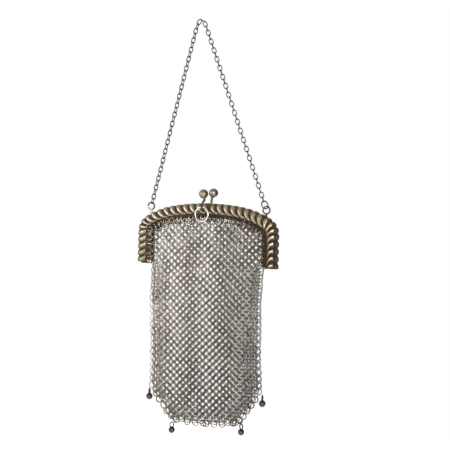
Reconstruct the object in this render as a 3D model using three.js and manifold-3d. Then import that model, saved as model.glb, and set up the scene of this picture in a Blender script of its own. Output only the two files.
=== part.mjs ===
// A metal mesh purse, hanging from its handle chain. Millimetres, +Z up, front toward -Y.
// The origin is the middle of the handle chain where it hangs over its support.
// The frame, clasp, ring and bag are drawn in the purse's own frame: x = 0 is the middle of the frame,
// y = 0 the plane where its two halves meet, and z = 0 the highest point of the arch.
import * as THREE from 'three';
import { mergeVertices } from 'three/addons/utils/BufferGeometryUtils.js';
import Module from 'manifold-3d';

const wasm = await Module();
wasm.setup();

// Gap between neighbouring pieces
const clearance = 0.3;

// How the purse hangs on its chain
const hangDrop = 104.5;
const hangShift = 2.75;
const hangTilt = THREE.MathUtils.degToRad(1.5);

// Frame
const frameWidth = 87.4;
const frameHeight = 34.8;
const mouldingWidth = 6.3;
const mouldingDepth = 4.2;
const lobeRelief = 0.6;
const partingInset = 1.5;
const flangeWidth = 2.2;
const flangeThickness = 0.8;
const flangeSetback = 2.4;
const backLegExtra = 1;
const sectionOverrun = 1;
const hingePinDiameter = 1.2;
const hingePinLength = 2.8;
const hingePinHeight = 2.2;

// The arch from its middle outward, as arcs of the outer edge: radius as a share of half the frame's
// width (the last arc takes what is left of it), angle turned in degrees, and lobes of the moulding.
const ARCH = [
  { radius: 3.09, turn: 8.5, lobes: 4.6 },
  { radius: 1.213, turn: 21.5, lobes: 4.5 },
  { radius: null, turn: 60, lobes: 2.6 },
];
const legLobes = 4.6;

// The moulding's section from the outer edge inward, after the groove where the halves part: inset as a
// share of its width, rise as a share of its depth, how far the lobe is swept along the arch in lobes, and
// how much of the relief it takes.
const MOULDING = [
  { inset: 0.02, rise: 0.3, sweep: 0.0, relief: 1 },
  { inset: 0.02, rise: 0.62, sweep: 0.0, relief: 1 },
  { inset: 0.2, rise: 0.9, sweep: 0.02, relief: 1 },
  { inset: 0.6, rise: 1.0, sweep: 0.35, relief: 1 },
  { inset: 0.88, rise: 0.82, sweep: 0.8, relief: 0.7 },
];

// The section goes on round the flange and back to its start: inset and depth in millimetres, and the same
// sweep, which fades out.
const FLANGE = [
  { inset: mouldingWidth, depth: flangeSetback + flangeThickness, sweep: 0.9 },
  { inset: mouldingWidth + flangeWidth, depth: flangeSetback + flangeThickness, sweep: 0.9 },
  { inset: mouldingWidth + flangeWidth, depth: flangeSetback, sweep: 0.4 },
  { inset: mouldingWidth - flangeThickness, depth: flangeSetback, sweep: 0.2 },
  { inset: mouldingWidth - flangeThickness, depth: clearance / 2, sweep: 0.0 },
];

// Chain lugs, and the plain seat beside the clasp
const lugInsetLeft = 8.3;
const lugInsetRight = 6.3;
const lugOuter = 5.0;
const lugWire = 0.85;
const lugRise = 4.1;
const lugPostDiameter = 1.3;
const lugRoot = 2.1;
const seatWidth = 3.6;
const seatHeight = 3.1;
const seatDepth = 3.8;
const seatPlace = 2.8;

// Clasp, its eyelet and the ring on it
const knobDiameter = 5.3;
const knobGap = 0.36;
const knobHeight = 5.3;
const knobShift = 0.55;
const knobDepthSplit = 1;
const knobStagger = 0.6;
const stemDiameter = 1.4;
const eyeletWire = 0.7;
const eyeletHole = 1.6;
const eyeletDrop = 2.3;
const eyeletShift = -0.6;
const eyeletSeat = 0.93;
const ringOuter = 9;
const ringWire = 0.95;

// The stems' middle points from the ball down: across as a share of the ball's own place, out from the
// middle plane as a share of the moulding's depth, and up as a share of the knob's height.
const STEM_FRONT = [
  { across: 0.6, out: 0.35, up: 0.5 },
  { across: 0.3, out: 0.75, up: 0.26 },
  { across: 0.25, out: 1.2, up: 0.04 },
];
const STEM_BACK = [
  { across: 0.6, out: 0.4, up: 0.5 },
  { across: 0.45, out: 0.5, up: 0.06 },
];

// Handle chain: its oval links are 2.8 mm wide. It is drawn as a tube of that width. A strand runs straight
// from its lug and bends over the top; the bend's points are shares of its size, from the strand to the top.
const chainWidth = 2.8;
const bendSize = 3.4;
const BEND = [
  { across: 1, down: 1.5 },
  { across: 0.62, down: 0.62 },
  { across: 0.3, down: 0.14 },
];
const topOverlap = 1.6;
const jumpRingOuter = 4.5;
const jumpRingLength = 5.2;
const jumpRingWire = 0.75;
const jumpRingSlack = 0.45;
const jumpRingTurn = THREE.MathUtils.degToRad(52);

// Bag
const bagLength = 92.7;
const bagInset = 7.3;
const bagDepth = 9;
const bagWall = 1.6;
const mouthGap = 4.6;
const foldDepth = 0.3;
const folds = 2.5;
const bagLean = THREE.MathUtils.degToRad(3);
const bagShift = -1.1;
const shiftDrop = 0.2;

// Bag below the frame: drop as a share of its length; half width, half depth and how far the folds have
// formed, as shares of half the bag's width, half its depth and the fold depth.
const BAG = [
  { drop: 0.0, width: 0.955, depth: 0.93, fold: 0.0 },
  { drop: 0.035, width: 0.995, depth: 0.95, fold: 0.1 },
  { drop: 0.14, width: 0.985, depth: 1.0, fold: 0.5 },
  { drop: 0.34, width: 0.975, depth: 1.0, fold: 1.0 },
  { drop: 0.56, width: 0.965, depth: 1.0, fold: 1.0 },
  { drop: 0.775, width: 0.99, depth: 0.97, fold: 0.7 },
  { drop: 0.86, width: 0.84, depth: 0.92, fold: 0.5 },
  { drop: 0.95, width: 0.665, depth: 0.72, fold: 0.2 },
  { drop: 0.98, width: 0.58, depth: 0.58, fold: 0.1 },
  { drop: 0.994, width: 0.4, depth: 0.5, fold: 0.0 },
  { drop: 1.0, width: 0.18, depth: 0.42, fold: 0.0 },
];

// The bag within the arch: shares of the leg's height, and lobes from the leg's top toward the middle
const LEG_LEVELS = [0.75, 0.35];
const ARCH_LEVELS = [0, 2.6, 4.6, 7.1, 9.7];
const mouthTopHalf = 2;

// How round a level of the bag is seen from above: powers of the sine and cosine, low ones being square
const round = { across: 0.8, deep: 0.55 };
const square = { across: 0.3, deep: 0.06 };

// Below this drop the bag's wall closes under it as its floor
const floorDrop = 0.9;

// Ball drops on the cut corners, from one side to the other: place as a share of half the bag's width,
// hang as a share of the bag's length, and the turn of the link in degrees.
const dropBall = 3.8;
const dropLinkLength = 3.6;
const dropLinkWidth = 2.7;
const dropWire = 0.6;
const DROPS = [
  { place: -0.983, hang: 0.781, turn: 80 },
  { place: -0.577, hang: 0.9805, turn: -25 },
  { place: 0.635, hang: 0.964, turn: 20 },
  { place: 0.989, hang: 0.78, turn: 80 },
];

// Facets
const lobeSteps = 3;
const linkSides = 10;
const wireSides = 5;
const ringSides = 16;
const bagSides = 20;
const ballSides = 12;
const ballRows = 8;
const dropSides = 10;
const dropRows = 6;
const postSides = 8;
const stemSides = 6;
const stemSteps = 7;
const chainSides = 8;
const strandSteps = 16;
const bendSteps = 8;
const lengthSteps = 40;

const halfFrame = frameWidth / 2;
const bagWidth = frameWidth - 2 * bagInset;
const lugPlace = (side) => halfFrame - (side < 0 ? lugInsetLeft : lugInsetRight);
const seam = clearance / 2;
const flangeEdge = mouldingWidth + flangeWidth;

// Colours, roughness and metalness
const finish = (color, roughness) => new THREE.MeshStandardMaterial({ color, roughness, metalness: 0.9 });
const frameFinish = () => finish(0x9b9082, 0.38);
const wireFinish = () => finish(0x8b857c, 0.42);
const meshFinish = () => finish(0x7d7871, 0.5);
const dropFinish = () => finish(0x5b5752, 0.4);

// Solids from geometry and back
function toSolid(geometry) {
  const bare = new THREE.BufferGeometry();
  bare.setAttribute('position', geometry.getAttribute('position').clone());
  if (geometry.index) bare.setIndex(geometry.index.clone());
  const merged = mergeVertices(bare, 1e-4);
  return new wasm.Manifold(new wasm.Mesh({
    numProp: 3,
    vertProperties: new Float32Array(merged.getAttribute('position').array),
    triVerts: new Uint32Array(merged.index.array),
  }));
}

function toGeometry(solid) {
  const mesh = solid.getMesh();
  const geometry = new THREE.BufferGeometry();
  geometry.setAttribute('position', new THREE.Float32BufferAttribute(mesh.vertProperties, 3));
  geometry.setIndex(new THREE.Uint32BufferAttribute(mesh.triVerts, 1));
  return geometry;
}

const fuse = (geometries) => geometries.map(toSolid).reduce((all, next) => all.add(next));

// A closed solid through rings of points, each ring with as many points as the next
function loft(rings) {
  const sides = rings[0].length;
  const corners = [];
  rings.forEach((ring) => ring.forEach((point) => corners.push(point.x, point.y, point.z)));
  const faces = [];
  for (let row = 0; row + 1 < rings.length; row++) {
    for (let side = 0; side < sides; side++) {
      const a = row * sides + side;
      const b = row * sides + ((side + 1) % sides);
      faces.push(a, b, b + sides, a, b + sides, a + sides);
    }
  }
  const last = (rings.length - 1) * sides;
  for (const [ring, start, turned] of [[rings[0], 0, true], [rings[rings.length - 1], last, false]]) {
    for (const [a, b, c] of THREE.ShapeUtils.triangulateShape(flatten(ring), [])) {
      if (turned) faces.push(start + c, start + b, start + a);
      else faces.push(start + a, start + b, start + c);
    }
  }
  const geometry = new THREE.BufferGeometry();
  geometry.setAttribute('position', new THREE.Float32BufferAttribute(corners, 3));
  geometry.setIndex(faces);
  return geometry;
}

// A ring's points in its own plane, in the same sense as its normal
function flatten(ring) {
  const middle = ring.reduce((sum, point) => sum.add(point), new THREE.Vector3()).divideScalar(ring.length);
  const normal = new THREE.Vector3();
  ring.forEach((point, i) => {
    const next = ring[(i + 1) % ring.length];
    normal.add(point.clone().sub(middle).cross(next.clone().sub(middle)));
  });
  normal.normalize();
  const across = ring[0].clone().sub(middle);
  across.addScaledVector(normal, -across.dot(normal)).normalize();
  const up = normal.clone().cross(across);
  return ring.map((point) => {
    const arm = point.clone().sub(middle);
    return new THREE.Vector2(arm.dot(across), arm.dot(up));
  });
}

// Wire ring or oval link in the XY plane, its long axis along Y
function wireRing(outerWidth, wire, sides, outerLength = outerWidth) {
  const radius = (outerWidth - wire) / 2;
  const geometry = new THREE.TorusGeometry(radius, wire / 2, wireSides, sides);
  const stretch = (outerLength - outerWidth) / 2;
  const position = geometry.getAttribute('position');
  const tiny = 1e-6;
  for (let i = 0; i < position.count; i++) {
    const y = position.getY(i);
    const angle = Math.atan2(y, position.getX(i));
    if (Math.abs(Math.sin(angle)) > Math.sin(Math.PI / sides)) position.setY(i, y + Math.sign(y) * stretch);
    else if (Math.abs(y) < tiny) position.setY(i, 0);
  }
  return geometry;
}

// Place a geometry drawn in XY so that its Y runs along `along` and its Z along `normal`, centred at `centre`
function seatAt(geometry, centre, along, normal) {
  const y = along.clone().normalize();
  const z = normal.clone().addScaledVector(y, -normal.dot(y)).normalize();
  const x = y.clone().cross(z);
  const matrix = new THREE.Matrix4().makeBasis(x, y, z).setPosition(centre);
  return geometry.clone().applyMatrix4(matrix);
}

// Wire along a curve through points
function wireThrough(points, wire, sides, steps) {
  const section = new THREE.Shape();
  for (let i = 0; i < sides; i++) {
    const angle = (i / sides) * Math.PI * 2;
    const x = Math.cos(angle) * wire / 2;
    const y = Math.sin(angle) * wire / 2;
    if (i === 0) section.moveTo(x, y);
    else section.lineTo(x, y);
  }
  section.closePath();
  return new THREE.ExtrudeGeometry(section, {
    steps, bevelEnabled: false, extrudePath: new THREE.CatmullRomCurve3(points),
  });
}

const rodAlong = (diameter, length, sides) => new THREE.CylinderGeometry(
  diameter / 2, diameter / 2, length, sides);

const ballAt = (diameter, sides, rows, centre) => new THREE.SphereGeometry(diameter / 2, sides, rows)
  .rotateX(Math.PI / 2).translate(centre.x, centre.y, centre.z);

// The arch: its arcs with their radius, start and length, then the leg
function archSpans() {
  const spans = [];
  let angle = 0;
  let x = 0;
  let z = 0;
  let phase = 0;
  for (const row of ARCH) {
    const turn = THREE.MathUtils.degToRad(row.turn);
    const reach = Math.sin(angle + turn) - Math.sin(angle);
    const radius = row.radius === null ? (halfFrame - x) / reach : row.radius * halfFrame;
    spans.push({ radius, angle, turn, x, z, phase, lobes: row.lobes });
    x += radius * reach;
    z -= radius * (Math.cos(angle) - Math.cos(angle + turn));
    angle += turn;
    phase += row.lobes;
  }
  spans.push({ radius: null, angle, x, z, phase, lobes: legLobes, length: frameHeight + z });
  return spans;
}
const SPANS = archSpans();
const halfLobes = SPANS[SPANS.length - 1].phase + legLobes;

// A point of the arch by its lobe count from the middle (negative to the left), moved inward and forward
function archPoint(phase, inset, rise) {
  const side = phase < 0 ? -1 : 1;
  const count = Math.abs(phase);
  const span = SPANS.filter((row) => row.phase <= count + 1e-9).pop();
  const share = (count - span.phase) / span.lobes;
  if (span.radius === null) {
    return new THREE.Vector3(side * (span.x - inset), rise, span.z - share * span.length);
  }
  const angle = span.angle + share * span.turn;
  const x = span.x + span.radius * (Math.sin(angle) - Math.sin(span.angle)) - inset * Math.sin(angle);
  const z = span.z - span.radius * (Math.cos(span.angle) - Math.cos(angle)) - inset * Math.cos(angle);
  return new THREE.Vector3(side * x, rise, z);
}

// The lobe count at which the arch's outer edge is `x` from the middle
function phaseAt(x) {
  let low = 0;
  let high = SPANS[SPANS.length - 1].phase;
  for (let step = 0; step < 40; step++) {
    const middle = (low + high) / 2;
    if (archPoint(middle, 0, 0).x < x) low = middle;
    else high = middle;
  }
  return low;
}

// Moulding and flange of one half, toward `front` (-1) or back (+1), its legs `extra` longer
function frameHalf(toward, extra) {
  const rings = [];
  const first = -Math.round((halfLobes + sectionOverrun) * lobeSteps);
  for (let step = first; step <= -first; step++) {
    const phase = step / lobeSteps;
    const valley = (1 - Math.abs(Math.cos(phase * Math.PI))) * lobeRelief;
    const ring = [archPoint(phase, partingInset + valley, toward * seam)];
    for (const row of MOULDING) {
      const cut = valley * row.relief;
      const arm = new THREE.Vector2(row.inset - 0.5, row.rise).normalize();
      const inset = row.inset * mouldingWidth - arm.x * cut;
      const rise = row.rise * mouldingDepth - arm.y * cut;
      ring.push(archPoint(phase + row.sweep, inset, toward * (seam + rise)));
    }
    for (const row of FLANGE) ring.push(archPoint(phase + row.sweep, row.inset, toward * row.depth));
    if (toward > 0) ring.reverse();
    rings.push(ring);
  }
  const legEnd = frameHeight + extra;
  const room = frameWidth * 2;
  const below = new THREE.BoxGeometry(room, room, room).translate(0, 0, -legEnd - room / 2);
  return toSolid(loft(rings)).subtract(toSolid(below));
}

// The slot in a leg for its hinge pin, or the pin itself when `gap` is zero
function hingeRod(side, gap) {
  const rod = rodAlong(hingePinDiameter + 2 * gap, hingePinLength + 2 * gap, linkSides);
  rod.rotateZ(Math.PI / 2);
  const inset = (partingInset + mouldingWidth - flangeThickness) / 2;
  return rod.translate(side * (halfFrame - inset), 0, hingePinHeight - frameHeight);
}

const lugDepth = -mouldingDepth / 2;
const lugCentre = (side) => {
  const top = archPoint(phaseAt(lugPlace(side)), 0, 0);
  return new THREE.Vector3(side * lugPlace(side), lugDepth, top.z + lugRise);
};

// A lug: a loop in the frame's plane on a short post
function lug(side) {
  const centre = lugCentre(side);
  const loop = seatAt(wireRing(lugOuter, lugWire, linkSides), centre,
    new THREE.Vector3(0, 0, 1), new THREE.Vector3(0, 1, 0));
  const postLength = lugRise - lugOuter / 2 + lugWire / 2 + lugRoot;
  const post = rodAlong(lugPostDiameter, postLength, postSides).rotateX(Math.PI / 2);
  post.translate(centre.x, centre.y, centre.z - lugOuter / 2 + lugWire / 2 - postLength / 2);
  return [loop, post];
}

function claspSeat() {
  const block = new THREE.BoxGeometry(seatWidth, seatDepth, seatHeight);
  return block.translate(seatPlace, -seam - seatDepth / 2, -seatHeight / 2);
}

function frameFront() {
  let solid = frameHalf(-1, 0);
  for (const piece of [...lug(-1), ...lug(1), claspSeat()]) solid = solid.add(toSolid(piece));
  for (const side of [-1, 1]) solid = solid.subtract(toSolid(hingeRod(side, clearance)));
  return solid;
}

function frameBack() {
  let solid = frameHalf(1, backLegExtra);
  for (const side of [-1, 1]) solid = solid.subtract(toSolid(hingeRod(side, clearance)));
  return solid;
}

// Clasp knobs: two balls that pass each other with a little gap
const knobSpread = Math.sqrt((knobDiameter + knobGap) ** 2 - (2 * knobDepthSplit) ** 2) / 2;
const shoulder = -(seam + mouldingDepth * eyeletSeat);
const eyeletOuter = eyeletHole + 2 * eyeletWire;
const eyeletCentre = new THREE.Vector3(eyeletShift, shoulder - clearance - eyeletOuter / 2, -eyeletDrop);

// A ball on a stem that leaves it through the rows' points, in front of the middle plane (-1) or behind (+1)
function knob(centre, rows, toward, end) {
  const ball = ballAt(knobDiameter, ballSides, ballRows, centre);
  const points = rows.map((row) => new THREE.Vector3(
    centre.x * row.across, toward * row.out * mouldingDepth, row.up * knobHeight));
  return [ball, wireThrough([centre, ...points, ...end], stemDiameter, stemSides, stemSteps)];
}

function knobFront() {
  const centre = new THREE.Vector3(knobShift - knobSpread, -knobDepthSplit, knobHeight);
  const foot = eyeletCentre.clone();
  foot.z += (eyeletHole + eyeletWire) / 2;
  const eyelet = seatAt(wireRing(eyeletOuter, eyeletWire, linkSides), eyeletCentre,
    new THREE.Vector3(0, 0, 1), new THREE.Vector3(1, 0, 0));
  return fuse([...knob(centre, STEM_FRONT, -1, [foot]), eyelet]);
}

function knobBack() {
  const centre = new THREE.Vector3(knobShift + knobSpread, knobDepthSplit, knobHeight + knobStagger);
  return fuse(knob(centre, STEM_BACK, 1, []));
}

function frontRing() {
  const centre = eyeletCentre.clone();
  centre.z -= (ringOuter - ringWire) / 2;
  return seatAt(wireRing(ringOuter, ringWire, ringSides), centre,
    new THREE.Vector3(0, 0, 1), new THREE.Vector3(0, 1, 0));
}

// The bag hangs plumb below the tilted frame: its middle moves sideways as it drops, and its rows turn back
// toward level
const bagTop = -(flangeEdge + clearance);
const bagAt = (share) => -frameHeight - share * bagLength;
const dropAt = (z) => Math.max(0, -frameHeight - z) / bagLength;
const plumb = (z) => dropAt(z) * bagLength * Math.tan(hangTilt) + bagShift * Math.min(1, dropAt(z) / shiftDrop);
const lean = (x, z) => x * Math.tan(bagLean) * dropAt(z);

// One level of the bag: a flattened ring of points, square-ended above the hinges and rounded below
function bagRing(z, halfWidth, halfDepth, fold, shape) {
  const ring = [];
  for (let i = 0; i < bagSides; i++) {
    const angle = ((i + 0.5) / bagSides) * Math.PI * 2;
    const c = Math.cos(angle);
    const s = Math.sin(angle);
    const x = halfWidth * Math.sign(c) * Math.abs(c) ** shape.across;
    const bulge = halfDepth * Math.sign(s) * Math.abs(s) ** shape.deep;
    const wave = foldDepth * fold * Math.sin((x / bagWidth) * folds * Math.PI * 2);
    ring.push(new THREE.Vector3(plumb(z) + x, bulge + wave, z + lean(x, z)));
  }
  return ring;
}

function bag() {
  const mouth = mouthGap / 2;
  const lower = [...BAG].reverse();
  const outer = lower.map((row) => bagRing(bagAt(row.drop), row.width * bagWidth / 2,
    row.depth * bagDepth / 2, row.fold, round));
  const leg = SPANS[SPANS.length - 1];
  const edge = flangeEdge + clearance;
  const phases = [
    ...LEG_LEVELS.map((share) => leg.phase + share * leg.lobes),
    ...ARCH_LEVELS.map((lobes) => leg.phase - lobes),
  ];
  for (const phase of phases) {
    const point = archPoint(phase, edge, 0);
    outer.push(bagRing(point.z, point.x, mouth + bagWall, 0, square));
  }
  outer.push(bagRing(bagTop, mouthTopHalf, mouth + bagWall, 0, square));
  const inner = lower.filter((row) => row.drop < 1).map((row) => bagRing(
    bagAt(row.drop) + (row.drop > floorDrop ? bagWall : 0),
    row.width * bagWidth / 2 - bagWall, row.depth * bagDepth / 2 - bagWall, row.fold, round));
  inner.push(bagRing(bagAt(0) + bagWall, halfFrame, mouth, 0, square));
  inner.push(bagRing(bagTop + bagWall * 2, halfFrame, mouth, 0, square));
  return toSolid(loft(outer)).subtract(toSolid(loft(inner)));
}

// A ball drop with the link it hangs on
function ballDrop(row) {
  const across = row.place * bagWidth / 2;
  const x = plumb(bagAt(row.hang)) + across;
  const top = bagAt(row.hang) + lean(across, bagAt(row.hang)) - clearance;
  const turn = THREE.MathUtils.degToRad(row.turn);
  const link = seatAt(wireRing(dropLinkWidth, dropWire, linkSides, dropLinkLength),
    new THREE.Vector3(x, 0, top - dropLinkLength / 2),
    new THREE.Vector3(0, 0, 1), new THREE.Vector3(Math.sin(turn), Math.cos(turn), 0));
  const centre = new THREE.Vector3(x, 0, top - dropLinkLength + dropWire - dropBall / 2);
  return fuse([link, ballAt(dropBall, dropSides, dropRows, centre)]);
}

// Where the purse's own frame sits in the part's
const purse = new THREE.Group();
purse.position.set(hangShift, -lugDepth, -hangDrop);
purse.rotation.y = hangTilt;
purse.updateMatrix();
const inPart = (point) => point.clone().applyMatrix4(purse.matrix);

const leftLug = inPart(lugCentre(-1));
const rightLug = inPart(lugCentre(1));
const lugInner = lugOuter / 2 - lugWire;

// The jump ring stands in the right lug, in line with the strand above it
const jumpInner = jumpRingLength / 2 - jumpRingWire;
const rightAlong = new THREE.Vector3(bendSize, 0, 0).sub(rightLug).normalize();
const jumpCentre = rightLug.clone().addScaledVector(rightAlong, lugInner + jumpInner - jumpRingSlack);

function jumpRing() {
  const normal = new THREE.Vector3(0, -1, 0).applyAxisAngle(rightAlong, jumpRingTurn);
  return seatAt(wireRing(jumpRingOuter, jumpRingWire, linkSides, jumpRingLength), jumpCentre, rightAlong, normal);
}

// The route of one side of the handle chain, from its lug or jump ring up to the bend over the top
function sideRoute(side, anchor, anchorRadius) {
  const bend = BEND.map((row) => new THREE.Vector3(side * row.across * bendSize, 0, -row.down * bendSize));
  const start = anchor.clone();
  start.addScaledVector(bend[0].clone().sub(anchor).normalize(), anchorRadius + clearance);
  return [start, start.clone().lerp(bend[0], 0.5), ...bend];
}

const leftRoute = sideRoute(-1, leftLug, lugOuter / 2);
const rightRoute = sideRoute(1, jumpCentre, jumpRingLength / 2).reverse();
const chainRoute = new THREE.CatmullRomCurve3([...leftRoute, new THREE.Vector3(0, 0, 0), ...rightRoute]);

// Shares of the route's length from one to another, without the last
const stations = (from, to, steps) => Array.from({ length: steps }, (_, i) => from + ((to - from) * i) / steps);

// The two strands: the left one goes over the top, and the right one meets it. Their stations are closer
// together over the bend.
function strands() {
  const lengths = chainRoute.getLengths((chainRoute.points.length - 1) * lengthSteps);
  const total = lengths[lengths.length - 1];
  const shareAt = (point) => lengths[point * lengthSteps] / total;
  const bendStart = shareAt(leftRoute.length - BEND.length);
  const bendEnd = shareAt(leftRoute.length + BEND.length);
  const split = shareAt(leftRoute.length) + topOverlap / total;
  const left = [...stations(0, bendStart, strandSteps), ...stations(bendStart, split, bendSteps), split];
  const restart = split + clearance / total;
  const right = [...stations(restart, bendEnd, bendSteps), ...stations(bendEnd, 1, strandSteps), 1];
  return [left, right].map(tube);
}

// A closed tube of the chain's width through stations of its route, which lies in the plane y = 0
function tube(shares) {
  const side = new THREE.Vector3(0, 1, 0);
  return loft(shares.map((share) => {
    const centre = chainRoute.getPointAt(share);
    const across = chainRoute.getTangentAt(share).cross(side).normalize();
    return Array.from({ length: chainSides }, (_, i) => {
      const angle = ((i + 0.5) / chainSides) * Math.PI * 2;
      return centre.clone()
        .addScaledVector(side, (Math.cos(angle) * chainWidth) / 2)
        .addScaledVector(across, (Math.sin(angle) * chainWidth) / 2);
    });
  }));
}

const part = new THREE.Group();
part.add(purse);

function addNode(parent, name, shape, material) {
  const geometry = shape.isBufferGeometry ? shape : toGeometry(shape);
  const mesh = new THREE.Mesh(geometry, material);
  mesh.name = name;
  parent.add(mesh);
}

addNode(purse, 'frame_front', frameFront(), frameFinish());
addNode(purse, 'frame_back', frameBack(), frameFinish());
addNode(purse, 'hinge_pin_left', hingeRod(-1, 0), frameFinish());
addNode(purse, 'hinge_pin_right', hingeRod(1, 0), frameFinish());
addNode(purse, 'clasp_knob_front', knobFront(), frameFinish());
addNode(purse, 'clasp_knob_back', knobBack(), frameFinish());
addNode(purse, 'front_ring', frontRing(), wireFinish());
addNode(purse, 'mesh_bag', bag(), meshFinish());
DROPS.forEach((row, i) => addNode(purse, `drop_${i + 1}`, ballDrop(row), dropFinish()));
addNode(part, 'jump_ring_right', jumpRing(), wireFinish());
const [chainLeft, chainRight] = strands();
addNode(part, 'chain_left', chainLeft, wireFinish());
addNode(part, 'chain_right', chainRight, wireFinish());

export default part;
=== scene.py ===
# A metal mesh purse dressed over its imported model: a stamped silver frame, a bag of interlocked wire
# rings, a link chain and ball drops. Sizes are millimetres, in the purse's own drawing frame: x = 0 is
# the middle of the frame, y = 0 the plane between its halves, z = 0 the top of the arch, and the front
# is toward -Y. A piece goes to metres in the model's frame when it is finished.
import math
import random

import bmesh
import bpy
from mathutils import Matrix, Vector


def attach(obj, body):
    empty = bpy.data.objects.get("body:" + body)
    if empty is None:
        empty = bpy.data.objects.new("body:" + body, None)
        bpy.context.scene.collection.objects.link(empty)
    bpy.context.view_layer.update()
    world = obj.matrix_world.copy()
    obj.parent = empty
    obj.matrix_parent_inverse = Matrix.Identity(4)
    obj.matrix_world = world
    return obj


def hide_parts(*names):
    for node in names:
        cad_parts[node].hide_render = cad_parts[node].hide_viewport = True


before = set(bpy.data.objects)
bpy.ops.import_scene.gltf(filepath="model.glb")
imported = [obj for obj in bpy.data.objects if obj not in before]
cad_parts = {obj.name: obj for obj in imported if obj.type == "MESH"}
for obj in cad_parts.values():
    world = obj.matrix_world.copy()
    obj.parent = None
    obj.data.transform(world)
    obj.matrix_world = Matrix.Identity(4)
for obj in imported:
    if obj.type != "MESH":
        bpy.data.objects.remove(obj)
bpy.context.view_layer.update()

TO_METRES = Matrix.Scale(0.001, 4)
HANG_TILT = math.radians(1.5)
LUG_DEPTH = -2.1
PURSE = Matrix.Translation((2.75, -LUG_DEPTH, -104.5)) @ Matrix.Rotation(HANG_TILT, 4, "Y")
HERE = Matrix.Identity(4)
draws = random.Random(11)

# Camera: the photograph's bearing, distance and aim
CAMERA_BEARING = math.radians(25)
CAMERA_DISTANCE = 0.546
CAMERA_AIM_ACROSS = 0.0134
CAMERA_AIM_HEIGHT = -0.1169
CAMERA_LENS = 76.6

bearing = Vector((math.sin(CAMERA_BEARING), -math.cos(CAMERA_BEARING), 0))
image_right = Vector((math.cos(CAMERA_BEARING), math.sin(CAMERA_BEARING), 0))
camera = bpy.data.objects.new("camera", bpy.data.cameras.new("camera"))
bpy.context.scene.collection.objects.link(camera)
camera.data.lens = CAMERA_LENS
camera.location = (image_right * CAMERA_AIM_ACROSS + Vector((0, 0, CAMERA_AIM_HEIGHT))
                   + bearing * CAMERA_DISTANCE)
camera.rotation_euler = bearing.to_track_quat("Z", "Y").to_euler()
bpy.context.scene.camera = camera


# ---------------------------------------------------------------- materials

def linear(hex_colour):
    """An sRGB hex colour as the linear values that Blender's sockets take."""
    channels = [int(hex_colour[i:i + 2], 16) / 255 for i in (1, 3, 5)]
    return [c / 12.92 if c <= 0.04045 else ((c + 0.055) / 1.055) ** 2.4 for c in channels] + [1.0]


def add_node(tree, kind, links=(), sockets=(), **settings):
    """A node with its settings, socket values and incoming links."""
    node = tree.nodes.new(kind)
    for name, value in settings.items():
        setattr(node, name, value)
    for name, value in dict(sockets).items():
        node.inputs[name].default_value = value
    for name, source in dict(links).items():
        tree.links.new(source, node.inputs[name])
    return node


def ramp_stops(node, stops):
    """Sets a colour ramp's stops from rows of (position, hex colour)."""
    ramp = node.color_ramp
    while len(ramp.elements) < len(stops):
        ramp.elements.new(0.5)
    for element, (position, colour) in zip(ramp.elements, stops):
        element.position = position
        element.color = linear(colour)


# The toward gradients of painted shade start at this height; fine scratches over all the silver
GRADIENT_HEIGHT = -0.12
SCRATCH_MM, SCRATCH_STRENGTH, SCRATCH_DEPTH = 0.35, 0.12, 0.0001


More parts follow.
